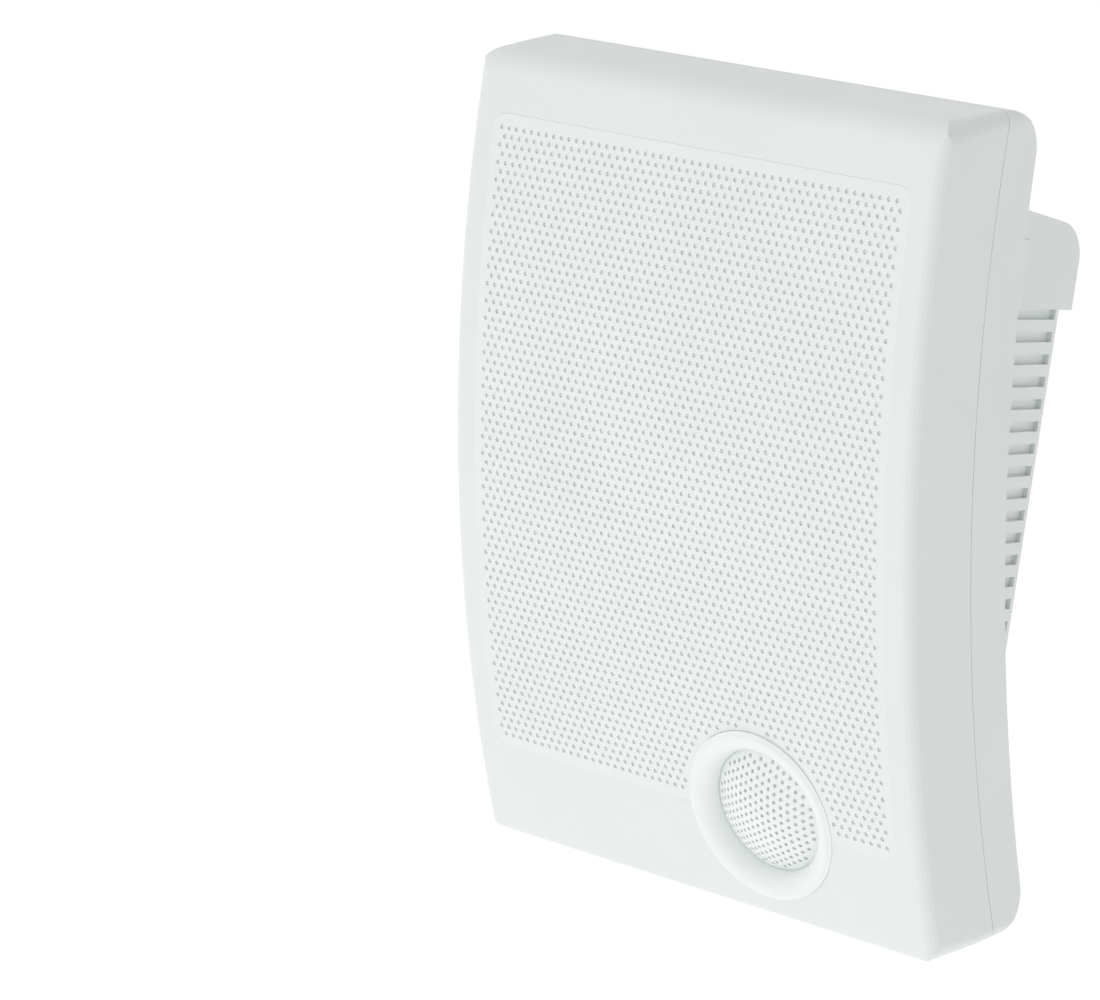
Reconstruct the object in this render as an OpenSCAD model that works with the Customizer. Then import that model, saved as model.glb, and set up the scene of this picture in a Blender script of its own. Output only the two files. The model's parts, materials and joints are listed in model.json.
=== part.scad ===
// Wall speaker: a bowed two-way cabinet on a wedge-shaped back box.
// Millimetres. The back plate lies in the plane Y = 0, the room is towards -Y,
// Z is up and the origin is the centre of the keyhole in the back plate.

/* [Cabinet] */
// Width of the bowed cabinet
body_w = 180; // [174:1:196]
// Height of the bowed cabinet, measured along its lean
body_h = 250; // [244:1:270]
// Radius of the bowed front face, seen from the side
face_r = 532; // [480:1:620]
// Radius of the hollow back face
back_r = 583; // [540:1:640]
// Thickness of the cabinet at mid height
slab_depth = 43.7; // [42:0.1:50]
// Depth of the front shell, up to the seam on the sides
front_depth = 27.8; // [26:0.1:31]
// Wall thickness of both shells
wall = 2.6; // [2.2:0.1:3]
// Radius of the four corners at the seam, seen from the front
corner_r = 4.5; // [3:0.5:8]
// Radius of the four corners where they run into the front face
front_corner_r = 10; // [8:0.5:12]
// Rounding between the front face and the sides
side_round = 4; // [2:0.5:5]
// Rounding of the upper front edge
brow_round = 9; // [6:0.5:10]
// Rounding of the lower front edge
chin_round = 3; // [3:0.5:6]
// Rounding of the upper and lower back edges
back_round = 12; // [8:0.5:13]

/* [Lean and back box] */
// Angle by which the front leans down into the room
lean = 12.5; // [12:0.1:14]
// Distance from the back plate to the middle of the front face
reach = 96.8; // [96:0.1:102]
// How far the middle of the front face lies below the keyhole
drop = 28.9; // [27:0.1:31]
// Width of the flat back plate
plate_w = 115; // [112:1:118]
// Top edge of the back plate above the keyhole
plate_top = 64; // [62:0.5:65]
// Lowest point of the back plate below the keyhole
plate_drop = 102.2; // [99:0.1:104]
// Rise of the plate's bottom edge at its sides
plate_bow = 14; // [12:0.5:16]
// Sideways spread of the box walls per millimetre of depth
box_draft = 0.2; // [0.16:0.01:0.22]
// Width of the hood above the louvres
hood_w = 125.6; // [123:0.2:127]
// Lower edge of the hood above the keyhole
hood_foot = 43.8; // [43:0.1:45]
// Rounding of the hood's upper back edge
hood_round = 12; // [9:0.5:12.5]
// Rounding of the hood's upper corners, seen from behind
hood_corner = 8; // [5:0.5:9]
// Step from the hood's back face up to the plate
plate_step = 1; // [0.6:0.1:1.4]
// Louvre recesses in each side wall
louvre_n = 17; // [12:1:17]
// Height from one louvre to the next
louvre_pitch = 6.8; // [5.5:0.1:6.8]
// Height of one louvre recess
louvre_h = 3.1; // [2:0.1:3.6]
// Depth of one louvre recess
louvre_cut = 1.7; // [1:0.1:1.8]

/* [Grille] */
// Distance between neighbouring holes in a row
hole_pitch = 3.05; // [3:0.05:6]
// Diameter of a grille hole
hole_d = 1.5; // [1:0.05:1.7]
// Sheet thickness of the grille
grille_t = 1.2; // [1:0.1:1.4]
// Plain margin beside the perforated field
side_margin = 11.5; // [11.5:0.5:16]
// Plain margin above the perforated field
top_margin = 20.1; // [19:0.1:26]
// Plain margin below the perforated field
bottom_margin = 33.7; // [32:0.1:36]

/* [Tweeter] */
// Outer diameter of the tweeter's dished ring
ring_d = 55; // [52:0.5:57]
// Distance of the tweeter to the right of the centre line
tweeter_x = 28; // [22:0.5:32]
// Depth of the dish at the rim of the mesh dome
dish_depth = 5; // [4:0.1:5.2]
// Diameter of the mesh dome
mesh_d = 40; // [38:0.5:41]
// Height of the mesh dome
mesh_h = 6.5; // [5:0.5:7.5]
// Distance between the holes in a column of the mesh dome
mesh_pitch = 2.5; // [2.4:0.1:4]
// Diameter of a hole in the mesh dome
mesh_hole = 1.2; // [0.8:0.1:1.3]

/* [Woofer] */
// Outer diameter of the woofer's frame
woofer_d = 133; // [128:1:136]
// Height of the woofer's axis above the middle of the cabinet
woofer_z = 22; // [18:1:24]
// Diameter of the ferrite magnet
magnet_d = 80; // [70:1:84]
// Diameter of the voice coil
coil_d = 25.4; // [24:0.1:30]

/* [Terminal] */
// Width of the recess in the back plate
recess_w = 53; // [52:0.5:56]
// Depth of the recess
recess_depth = 15; // [14:0.1:16]
// Distance between the terminal's two screws
terminal_span = 43.4; // [43:0.1:45]
// Distance between the two wire holes
pole_span = 25; // [23:0.5:25]
// Width of a push tab
tab_w = 7.9; // [7:0.1:8.4]

/* [Fixings] */
// Diameter of the keyhole's round head
keyhole_d = 9.8; // [9:0.1:11]
// Width of the keyhole's slot
keyhole_slot = 5.2; // [4.5:0.1:5.6]
// Diameter of a wall pad
pad_d = 15; // [12:0.5:16]
// How far the wall pads stand off the plate
pad_proud = 0.6; // [0.4:0.1:1.2]

/* [Hidden] */
$fn = 64;
eps = 0.01;
fit = 0.05;
arc_fn = 360;

half_w = body_w / 2;
half_h = body_h / 2;

// Bowed sheets follow chords, three rows of holes to a chord.
row_h = hole_pitch * sqrt(3) / 2;
rows_per_chord = 3;
chord_h = row_h * rows_per_chord;
field_top = half_h - top_margin;
field_bottom = bottom_margin - half_h;
field_half_w = half_w - side_margin;
rim = 2;
ledge = 1.8;
scrim_t = 0.3;

tweeter_z = field_bottom;
tweeter_tilt = asin(-tweeter_z / face_r);
ring_r = ring_d / 2;

baffle_y = 20;
baffle_t = 3;
baffle_half_w = half_w - wall - 0.6;
baffle_half_h = half_h - wall - 4.4;
gasket_t = 1;
seam = 0.2;
flare_y = 15;
flare_len = 20;
flange_t = 1.2;
flange_y = baffle_y - gasket_t - flange_t;
woofer_r = woofer_d / 2;
cut_r = woofer_r - 7.5;
woofer_hole_in = 3.8;
tweeter_hole_r = 17.6;
coil_r = coil_d / 2;
magnet_r = magnet_d / 2;
edge_r = cut_r - 13;
neck_y = flange_y + 21;
seat_y = flange_y + 33.2;
coil_gap = 0.9;
plate_in = 4;
magnet_gap = 8;
top_plate_t = 5;
magnet_t = 14;
yoke_t = 5;

screw_x = half_w - 17.5;
screw_top = half_h - 15;
screw_low = 25 - half_h;
well_w = 10;
well_len = 19.5;
well_shift = 0.5;
well_seat = 40.5;
well_floor = 2.5;
post_x = baffle_half_w - 3.9;
post_z = [72, -8, -70];

plate_y = 0;
plate_half_w = plate_w / 2;
base_depth = 75;
base_half_w = plate_half_w + box_draft * base_depth;
base_drop = plate_drop + 44;
box_corner = 16;
skin = wall;
recess_top = 57.2;
shelf_foot = 51;
shelf_depth = 6;
floor_foot = 31;
ramp_foot = 19.3;
floor_y = plate_y - recess_depth;
channel_w = 9;
channel_depth = 5;
keyhole_top = 11;
key_pocket = 9;
pad_x = 42;
pad_high = 53;
pad_low = -77.5;
pad_sink = 0.9;

block_w = 37.8;
block_foot = 30.8;
block_top = 46.8;
block_face = floor_y + 9.6;
tab_h = 6.6;
tab_mid = 34.8;
tab_proud = 1.5;
tab_travel = 2.5;
hole_mid = 42.5;
ear_t = 2.4;
ear_y = floor_y - skin - ear_t;
ear_w = 6.5;
block_mid = (block_foot + block_top) / 2;
tab_body = 5.4;

board_w = 62;
board_h = 40;
board_mid = -52;
board_y = plate_y - skin - 6;
board_t = 1.6;

// Frames and small helpers.

// The cabinet leans forward: Y runs back from its face, Z along its height.
module leaned() {
  translate([0, -reach, -drop])
    rotate([lean, 0, 0])
      children();
}

// A flat shape drawn as (depth, height), drawn out across the width.
module across(width) {
  rotate([90, 0, 90])
    linear_extrude(height = width, center = true)
      children();
}

// A flat shape drawn as (x, height), drawn out from y0 back to y1.
module deep(y0, y1) {
  translate([0, y1, 0])
    rotate([90, 0, 0])
      linear_extrude(height = y1 - y0)
        children();
}

// A profile drawn as (radius, depth), turned about an axis that runs back.
module turned() {
  rotate([-90, 0, 0])
    rotate_extrude($fn = 96)
      children();
}

module tube(y0, y1, r, bore = 0) {
  deep(y0, y1)
    difference() {
      circle(r = r);
      if (bore > 0)
        circle(r = bore);
    }
}

module rounded_rect(w, z0, z1, r) {
  translate([-w / 2 + r, z0])
    square([w - 2 * r, z1 - z0]);
  translate([-w / 2, z0 + r])
    square([w, z1 - z0 - 2 * r]);
  for (x = [-1, 1])
    for (z = [z0 + r, z1 - r])
      translate([x * (w / 2 - r), z])
        circle(r = r);
}

// A cylinder across the width, to cut or keep a bowed face.
module bow_cylinder(y, r) {
  translate([0, y, 0])
    rotate([0, 90, 0])
      cylinder(r = r, h = body_w + 40, center = true, $fn = arc_fn);
}

function bow(z) = face_r - sqrt(face_r * face_r - z * z);

function arc_points(c, r, a0, a1, n) =
  [for (i = [0:n]) let (a = a0 + (a1 - a0) * i / n) [c[0] + r * cos(a), c[1] + r * sin(a)]];

function mirrored(points) =
  [for (i = [len(points) - 1:-1:0]) [points[i][0], -points[i][1]]];

// The bowed cabinet's form.

back_centre = slab_depth + back_r;

// The rounded front and back edges of one end, up to the height zt.
function end_points(zt, inset, front_round) =
  let (
    rf = max(front_round - inset, 0.5),
    zf = zt - rf,
    yf = face_r - sqrt(pow(face_r - inset - rf, 2) - zf * zf),
    rb = max(back_round - inset, 0.5),
    zb = zt - rb,
    yb = back_centre - sqrt(pow(back_r + inset + rb, 2) - zb * zb)
  )
  concat(
    [[-20, zf + rf * sin(atan2(zf, yf - face_r))]],
    arc_points([yf, zf], rf, atan2(zf, yf - face_r), 90, 8),
    arc_points([yb, zb], rb, 90, atan2(-zb, back_centre - yb), 10),
    [[90, zb + rb * sin(atan2(-zb, back_centre - yb))]]
  );

// Outline of the cabinet seen from the front, its corners wider near the face.
module corner_flare(inset) {
  x = half_w - inset;
  hull() {
    deep(-10, flare_y)
      rounded_rect(2 * x, inset - half_h, half_h - inset, front_corner_r - inset);
    deep(flare_y + flare_len, 80)
      rounded_rect(2 * x, inset - half_h, half_h - inset, max(corner_r - inset, 0.5));
  }
}

// The whole bowed cabinet as a solid, or its hollow when inset.
module slab(inset) {
  section_r = max(side_round - inset, 0.5);
  x = half_w - inset;
  difference() {
    intersection() {
      translate([0, face_r, 0])
        rotate([0, 90, 0])
          rotate([0, 0, -108])
            rotate_extrude(angle = 36, $fn = arc_fn)
              polygon(concat(
                [[face_r - 80, -x]],
                arc_points([face_r - inset - section_r, section_r - x], section_r, -90, 0, 5),
                arc_points([face_r - inset - section_r, x - section_r], section_r, 0, 90, 5),
                [[face_r - 80, x]]
              ));
      across(body_w + 10)
        polygon(concat(
          end_points(half_h - inset, inset, brow_round),
          mirrored(end_points(half_h - inset, inset, chin_round))
        ));
      deep(-10, 80)
        rounded_rect(2 * x, inset - half_h, half_h - inset, max(corner_r - inset, 0.5));
    }
    bow_cylinder(back_centre, back_r + inset);
  }
}

// Everything behind the seam, moved back by the amount given.
module behind_seam(shift) {
  bow_cylinder(front_depth + shift + face_r, face_r);
}

module tweeter_axis() {
  translate([tweeter_x, bow(tweeter_z), tweeter_z])
    rotate([tweeter_tilt, 0, 0])
      children();
}

module boss_spots() {
  for (x = [-1, 1])
    for (z = [screw_top, screw_low])
      translate([x * screw_x, 0, z])
        children();
}

module post_spots() {
  for (x = [-1, 1])
    for (z = post_z)
      translate([x * post_x, 0, z])
        children();
}

// Front shell, perforated sheet and baffle.

module front_shell() {
  color("whitesmoke")
    leaned()
      difference() {
        union() {
          difference() {
            intersection() {
              slab(0);
              corner_flare(0);
            }
            behind_seam(-seam);
            intersection() {
              slab(wall);
              corner_flare(wall);
            }
            // Groove for the lip of the rear shell.
            intersection() {
              slab(wall / 2);
              behind_seam(-3.1);
            }
          }
          intersection() {
            slab(wall / 2);
            union() {
              boss_spots()
                tube(1, well_seat - well_floor, 4.5);
              post_spots()
                tube(1, baffle_y, 3.8);
            }
          }
        }
        boss_spots()
          tube(24, 60, 1.6);
        post_spots()
          tube(11, 40, 1.4);
        deep(-10, 30)
          rounded_rect(2 * (field_half_w + rim - ledge), field_bottom - rim + ledge,
                       field_top + rim - ledge, 3);
        difference() {
          deep(-10, 30)
            rounded_rect(2 * (field_half_w + rim), field_bottom - rim, field_top + rim, 5);
          bow_cylinder(face_r, face_r - grille_t);
        }
        tweeter_axis()
          tube(-10, 30, ring_r + fit);
      }
}

chord_turn = 2 * asin(chord_h / 2 / face_r);
chord_n = ceil((field_top - field_bottom + 2 * rim) / chord_h) + 2;
chord_start = -chord_turn * chord_n / 2 + asin((field_top + field_bottom) / 2 / face_r);

module on_chord(i) {
  translate([0, face_r, 0])
    rotate([-(chord_start + (i + 0.5) * chord_turn), 0, 0])
      translate([0, -face_r, 0])
        children();
}

function sheet_points(r) =
  [for (i = [0:chord_n]) let (a = chord_start + i * chord_turn) [face_r - r * cos(a), r * sin(a)]];

function in_field(x, a) =
  let (z = face_r * sin(a))
  abs(x) < field_half_w - hole_d / 2 &&
  z > field_bottom + hole_d / 2 &&
  z < field_top - hole_d / 2 &&
  norm([x - tweeter_x, z - tweeter_z]) > ring_r + hole_d / 2 + 0.4;

module front_grille() {
  half_n = ceil(field_half_w / hole_pitch);
  color("white")
    leaned()
      difference() {
        intersection() {
          across(body_w)
            polygon(concat(
              sheet_points(face_r - fit),
              mirrored([for (p = sheet_points(face_r - grille_t + fit / 2)) [p[0], -p[1]]])
            ));
          deep(-10, 40)
            rounded_rect(2 * (field_half_w + rim - fit), field_bottom - rim + fit,
                         field_top + rim - fit, 5 - fit);
        }
        tweeter_axis()
          tube(-10, 30, ring_r + fit);
        for (i = [0:chord_n - 1])
          on_chord(i)
            for (k = [0:rows_per_chord - 1])
              for (c = [-half_n:half_n]) {
                row = i * rows_per_chord + k;
                x = (c + (row % 2) / 2 - 0.25) * hole_pitch;
                up = (k - (rows_per_chord - 1) / 2) * row_h;
                if (in_field(x, chord_start + (i + 0.5) * chord_turn + asin(up / face_r)))
                  translate([x, 4, up])
                    rotate([90, 0, 0])
                      cylinder(d = hole_d, h = 8, $fn = 16);
              }
      }
}

// Light cloth glued to the back of the perforated sheet, inside the shell's ledge.
module front_scrim() {
  color("white")
    leaned()
      difference() {
        intersection() {
          across(body_w)
            polygon(concat(
              sheet_points(face_r - grille_t + fit / 2),
              mirrored([for (p = sheet_points(face_r - grille_t - scrim_t)) [p[0], -p[1]]])
            ));
          deep(-10, 40)
            rounded_rect(2 * (field_half_w + rim - ledge - fit), field_bottom - rim + ledge + fit,
                         field_top + rim - ledge - fit, 3);
        }
        tweeter_axis()
          tube(-10, 30, ring_r + fit);
      }
}

module baffle() {
  color("dimgray")
    leaned()
      deep(baffle_y, baffle_y + baffle_t)
        difference() {
          square([2 * baffle_half_w, 2 * baffle_half_h], center = true);
          translate([0, woofer_z])
            circle(r = cut_r);
          translate([tweeter_x, tweeter_z])
            circle(r = 15 + fit);
          for (a = [45:90:315])
            translate([0, woofer_z])
              rotate(a)
                translate([woofer_r - woofer_hole_in, 0])
                  circle(r = 1.75, $fn = 24);
          for (a = [90:120:330])
            translate([tweeter_x, tweeter_z])
              rotate(a)
                translate([tweeter_hole_r, 0])
                  circle(r = 1.05, $fn = 24);
          for (x = [-1, 1]) {
            for (z = [screw_top, screw_low])
              translate([x * screw_x, z])
                circle(r = 5.2);
            for (z = post_z)
              translate([x * post_x, z])
                circle(r = 1.75, $fn = 24);
          }
        }
}

// Tweeter behind its dished ring.

mesh_r = mesh_d / 2;
mesh_t = 0.8;
lip_w = 1.9;
lip_edge = 0.1;
lip_proud = 0.8;

module tweeter_ring() {
  crest_r = ring_r - lip_w;
  mouth_w = crest_r - mesh_r;
  mouth_depth = dish_depth + lip_proud;
  inner_r = mesh_r - 1.4;
  back = dish_depth + mesh_t;
  color("white")
    leaned()
      difference() {
        tweeter_axis()
          turned()
            // A feathered rim, a soft crest, then a bell mouth down to the mesh dome.
            polygon(concat(
              [[ring_r, 20]],
              [for (a = [0:22.5:180])
                [ring_r - lip_w * a / 180, -lip_edge - (lip_proud - lip_edge) * (1 - cos(a)) / 2]],
              [for (a = [7.5:7.5:90])
                [mesh_r + mouth_w * (1 - sin(a)), -lip_proud + mouth_depth * (1 - cos(a))]],
              [[mesh_r, back], [inner_r, back], [inner_r, 20]]
            ));
        deep(baffle_y, 60)
          square(600, center = true);
        flat_plate_room();
      }
}

// Room for the flat tweeter plate inside the tilted ring.
module flat_plate_room() {
  translate([tweeter_x, 0, tweeter_z])
    tube(baffle_y - 3, 60, 21.4);
}

module tweeter_mesh() {
  cap_r = (mesh_r * mesh_r + mesh_h * mesh_h) / (2 * mesh_h);
  n = ceil(mesh_r / mesh_pitch) + 1;
  color("white")
    leaned()
      tweeter_axis()
        translate([0, dish_depth, 0])
          difference() {
            turned()
              intersection() {
                difference() {
                  translate([0, cap_r - mesh_h])
                    circle(r = cap_r, $fn = 240);
                  translate([0, cap_r - mesh_h + mesh_t])
                    circle(r = cap_r, $fn = 240);
                }
                translate([0, -mesh_h - 1])
                  square([mesh_r - fit, mesh_h + 1 + mesh_t]);
              }
            for (column = [-n:n])
              for (c = [-n:n]) {
                x = column * mesh_pitch * sqrt(3) / 2;
                up = (c + (abs(column) % 2) / 2) * mesh_pitch;
                if (norm([x, up]) < mesh_r - mesh_hole)
                  translate([x, 2, up])
                    rotate([90, 0, 0])
                      cylinder(d = mesh_hole, h = mesh_h + 4, $fn = 16);
              }
          }
}

module at_tweeter() {
  leaned()
    translate([tweeter_x, 0, tweeter_z])
      children();
}

module tweeter_plate() {
  color("black")
    at_tweeter()
      difference() {
        turned()
          polygon([[10.9, baffle_y - 1.8], [20, baffle_y - 1.8], [20, baffle_y], [12.9, baffle_y],
                   [12.9, baffle_y - 0.5], [10.9, baffle_y - 0.5]]);
        for (a = [90:120:330])
          rotate([0, -a, 0])
            translate([tweeter_hole_r, 0, 0])
              tube(0, 40, 1.2);
      }
}

module tweeter_dome() {
  y = baffle_y - 0.5;
  color("lightgray")
    at_tweeter()
      turned()
        union() {
          intersection() {
            difference() {
              translate([0, y + 10])
                circle(r = 14.2, $fn = 120);
              translate([0, y + 10])
                circle(r = 13.9, $fn = 120);
            }
            translate([0, y - 5])
              square([10.3, 5.3]);
          }
          translate([10, y])
            square([2.8, 0.4]);
          translate([10.1, y + 0.2])
            square([0.35, 4]);
        }
}

module tweeter_pole_plate() {
  color("silver")
    at_tweeter()
      tube(baffle_y + 0.6, baffle_y + 2.6, 9.7);
}

module tweeter_magnet() {
  color("gray")
    at_tweeter()
      tube(baffle_y + 2.6, baffle_y + 6.6, 9);
}

module tweeter_cup() {
  color("silver")
    at_tweeter()
      turned()
        polygon([[0, baffle_y + 6.6], [10.9, baffle_y + 6.6], [10.9, baffle_y], [15, baffle_y],
                 [15, baffle_y + 9.6], [0, baffle_y + 9.6]]);
}

module tweeter_screws() {
  color("silver")
    at_tweeter()
      for (a = [90:120:330])
        rotate([0, -a, 0])
          translate([tweeter_hole_r, 0, 0])
            screw(baffle_y - 1.8, 1, 1.8, 0.9, 7);
}

// A pan-head screw whose head rests on the plane y, driven backwards.
module screw(y, shank_r, head_r, head_h, len) {
  difference() {
    union() {
      turned()
        polygon([[0, y - head_h], [head_r - head_h * 0.6, y - head_h], [head_r, y - head_h * 0.35],
                 [head_r, y], [0, y]]);
      tube(y - 0.2, y + len, shank_r);
    }
    for (a = [0, 90])
      rotate([0, a, 0])
        translate([-head_r * 0.6, y - head_h - 1, -head_r * 0.12])
          cube([head_r * 1.2, 1 + head_h * 0.6, head_r * 0.24]);
  }
}

// The same screw driven forwards, its head resting on the plane y.
module screw_forward(y, shank_r, head_r, head_h, len) {
  translate([0, 2 * y, 0])
    mirror([0, 1, 0])
      screw(y, shank_r, head_r, head_h, len);
}

// Woofer, screwed to the front of the baffle.

module at_woofer() {
  leaned()
    translate([0, 0, woofer_z])
      children();
}

module woofer_gasket() {
  color("black")
    at_woofer()
      difference() {
        tube(baffle_y - gasket_t, baffle_y, woofer_r, cut_r);
        around_woofer()
          tube(0, 40, 1.8);
      }
}

module around_woofer() {
  for (a = [45:90:315])
    rotate([0, a, 0])
      translate([woofer_r - woofer_hole_in, 0, 0])
        children();
}

module woofer_basket() {
  y = flange_y;
  r = cut_r - 1;
  land_r = 38;
  t = flange_t;
  color("dimgray")
    at_woofer()
      difference() {
        turned()
          polygon([
            [edge_r + 9, y], [woofer_r, y], [woofer_r, y + t], [r, y + t], [r, y + 8],
            [land_r + 1.5, y + 26.5], [land_r + 1.5, y + 28], [36, y + 29.2], [36, seat_y], [20, seat_y],
            [20, seat_y - t], [34.8, seat_y - t], [34.8, y + 28], [land_r, y + 28], [land_r, y + 26],
            [r - t, y + 7.5], [r - t, y + t], [edge_r + 9, y + t]
          ]);
        around_woofer()
          tube(0, 40, 2);
        for (a = [0:60:300])
          rotate([0, a, 0])
            translate([land_r + 4, y + 8.5, -14])
              cube([30, 15, 28]);
      }
}

module woofer_surround() {
  y = flange_y;
  mid_r = edge_r + 5.5;
  roll_r = 4.5;
  t = 0.7;
  color("black")
    at_woofer()
      turned() {
        translate([mid_r, y - t])
          intersection() {
            difference() {
              circle(r = roll_r, $fn = 64);
              circle(r = roll_r - t, $fn = 64);
            }
            translate([-6, -6])
              square([12, 6]);
          }
        translate([mid_r + roll_r - t, y - t])
          square([cut_r - mid_r - roll_r + t, t]);
        translate([edge_r - 2, y - t])
          square([mid_r - roll_r + t - edge_r + 2, t]);
      }
}

module woofer_cone() {
  y = flange_y;
  t = 0.8;
  color("darkslategray")
    at_woofer()
      turned()
        polygon([
          [edge_r, y], [edge_r, y + t], [edge_r - 2.2, y + t], [coil_r + 0.4, neck_y + t],
          [coil_r + 0.4, neck_y - 1], [edge_r - 2, y]
        ]);
}

module woofer_dust_cap() {
  base_r = 17;
  rise = 6;
  cap_r = (base_r * base_r + rise * rise) / (2 * rise);
  slope = (neck_y - 1 - flange_y) / (edge_r - 2 - coil_r - 0.4);
  base_y = flange_y + slope * (edge_r - 2 - base_r);
  color("darkslategray")
    at_woofer()
      turned()
        intersection() {
          difference() {
            translate([0, base_y - rise + cap_r])
              circle(r = cap_r, $fn = 160);
            translate([0, base_y - rise + cap_r + 0.7])
              circle(r = cap_r, $fn = 160);
          }
          translate([0, base_y - rise - 1])
            square([base_r - 0.5, rise + 0.8]);
        }
}

module woofer_coil() {
  color("orange")
    at_woofer()
      turned()
        polygon([
          [coil_r, neck_y - 2], [coil_r + 0.4, neck_y - 2], [coil_r + 0.4, seat_y - 3],
          [coil_r + 0.8, seat_y - 3], [coil_r + 0.8, seat_y + 8], [coil_r, seat_y + 8]
        ]);
}

module woofer_spider() {
  y = flange_y + 27.4;
  inner = coil_r + 0.4;
  outer = 37.8;
  waves = 5;
  color("goldenrod")
    at_woofer()
      turned()
        polygon(concat(
          [[inner, y], [inner + 3, y]],
          [for (i = [0:4 * waves]) [inner + 3 + (outer - inner - 6) * i / (4 * waves), y - 1.1 * sin(i * 90)]],
          [[outer, y], [outer, y + 0.6]],
          [for (i = [4 * waves:-1:0]) [inner + 3 + (outer - inner - 6) * i / (4 * waves), y + 0.6 - 1.1 * sin(i * 90)]],
          [[inner, y + 0.6]]
        ));
}

module woofer_top_plate() {
  color("silver")
    at_woofer()
      tube(seat_y, seat_y + top_plate_t, magnet_r - plate_in, coil_r + 0.4 + coil_gap);
}

module woofer_magnet() {
  color("darkgray")
    at_woofer()
      tube(seat_y + top_plate_t, seat_y + top_plate_t + magnet_t, magnet_r, coil_r + magnet_gap);
}

module woofer_yoke() {
  back = seat_y + top_plate_t + magnet_t;
  color("silver")
    at_woofer()
      turned()
        polygon([
          [0, seat_y - 0.5], [coil_r - 0.4, seat_y - 0.5], [coil_r - 0.4, back], [magnet_r - plate_in, back],
          [magnet_r - plate_in, back + yoke_t - 1], [magnet_r - plate_in - 1, back + yoke_t],
          [0, back + yoke_t]
        ]);
}

module woofer_screws() {
  color("silver")
    at_woofer()
      around_woofer()
        screw(flange_y, 1.7, 3.3, 2, 9);
}

// Back box, hood, recess and louvres.

// Outline of the plate or of a section nearer the cabinet, as (x, height).
function box_outline(x, top, low, rise, inset) =
  let (
    hx = x - inset,
    rr = box_corner,
    z_side = -low + rise + box_corner + 4,
    r_low = (pow(x, 2) + pow(rise, 2)) / (2 * rise),
    low_z = -low + r_low - sqrt(pow(r_low - inset, 2) - pow(hx - rr, 2)) + rr,
    cut = asin((hx - rr) / (r_low - inset))
  )
  concat(
    [[-hx, top - inset], [hx, top - inset], [hx, z_side]],
    arc_points([hx - rr, low_z], rr, 0, -60, 6),
    [for (i = [1:9]) let (a = cut * (1 - i / 5))
      [(r_low - inset) * sin(a), -low + r_low - (r_low - inset) * cos(a)]],
    arc_points([rr - hx, low_z], rr, -120, -180, 6),
    [[-hx, z_side]]
  );

// The tapering box below the hood, from the plate into the cabinet.
module box_form(inset) {
  hull() {
    deep(plate_y - inset - 0.1, plate_y - inset)
      polygon(box_outline(plate_half_w, plate_top, plate_drop, plate_bow, inset));
    deep(plate_y - base_depth, plate_y - base_depth + 0.1)
      polygon(box_outline(base_half_w, plate_top, base_drop, plate_bow + 8, inset));
  }
}

// Side view of the hood: its top falls back and rounds into the back face.
module hood_side(inset) {
  y = plate_y - plate_step - inset;
  fall = tan(8);
  top = plate_top + 6.2;
  r = hood_round - inset;
  polygon(concat(
    [[y - 80, hood_foot + inset], [y, hood_foot + inset]],
    arc_points([y - r, top - inset - r], r, 0, 82, 10),
    [[y - 80, top - inset + (80 - hood_round) * fall]]
  ));
}

module hood_form(inset) {
  intersection() {
    across(hood_w - 2 * inset)
      hood_side(inset);
    deep(-100, 0)
      rounded_rect(hood_w - 2 * inset, -20, plate_top + 20, max(hood_corner - inset, 1));
  }
}

// Side view of the terminal recess, grown by the skin for its walls.
module recess_side(grow) {
  polygon([
    [1, recess_top + grow], [plate_y - shelf_depth - grow, recess_top + grow],
    [plate_y - shelf_depth - grow, shelf_foot + grow], [floor_y - grow, shelf_foot + grow],
    [floor_y - grow, floor_foot - grow * 0.6], [plate_y, ramp_foot - grow * 1.2], [1, ramp_foot - grow * 1.2]
  ]);
}

module keyhole_form(grow) {
  circle(d = keyhole_d + 2 * grow);
  translate([-keyhole_slot / 2 - grow, 0])
    square([keyhole_slot + 2 * grow, keyhole_top - keyhole_slot / 2]);
  translate([0, keyhole_top - keyhole_slot / 2])
    circle(d = keyhole_slot + 2 * grow);
}

module pad_spots() {
  for (x = [-1, 1])
    for (z = [pad_low, pad_high])
      translate([x * pad_x, 0, z])
        children();
}

// Keeps only what lies behind the cabinet's back wall.
module behind_cabinet(depth) {
  intersection() {
    children();
    leaned()
      bow_cylinder(back_centre, back_r + depth);
  }
}

module louvres() {
  z0 = hood_foot - louvre_h - 0.6;
  behind_cabinet(-3)
    for (s = [-1, 1])
      for (i = [0:louvre_n - 1])
        scale([s, 1, 1])
          louvre_recess(z0 - i * louvre_pitch);
}

// One louvre recess: parallel to the tapering side wall, cut to one depth.
module louvre_recess(z) {
  translate([0, 0, z])
    linear_extrude(height = louvre_h)
      polygon([
        [plate_half_w + 2 * box_draft - louvre_cut, plate_y - 2],
        [plate_half_w + 70 * box_draft - louvre_cut, plate_y - 70],
        [plate_half_w + 70 * box_draft + 6, plate_y - 70],
        [plate_half_w + 2 * box_draft + 6, plate_y - 2]
      ]);
}

module rear_outer() {
  leaned()
    intersection() {
      slab(0);
      behind_seam(0);
    }
  leaned()
    difference() {
      intersection() {
        slab(wall / 2 + fit);
        behind_seam(-3);
      }
      behind_seam(0.5);
    }
  behind_cabinet(1)
    box_form(0);
  behind_cabinet(1)
    hood_form(0);
}

module wells(grow, y0, y1) {
  leaned()
    boss_spots()
      translate([0, 0, -well_shift])
        deep(y0, y1)
          for (s = [-1, 1])
            well_half(s, grow);
}

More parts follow.
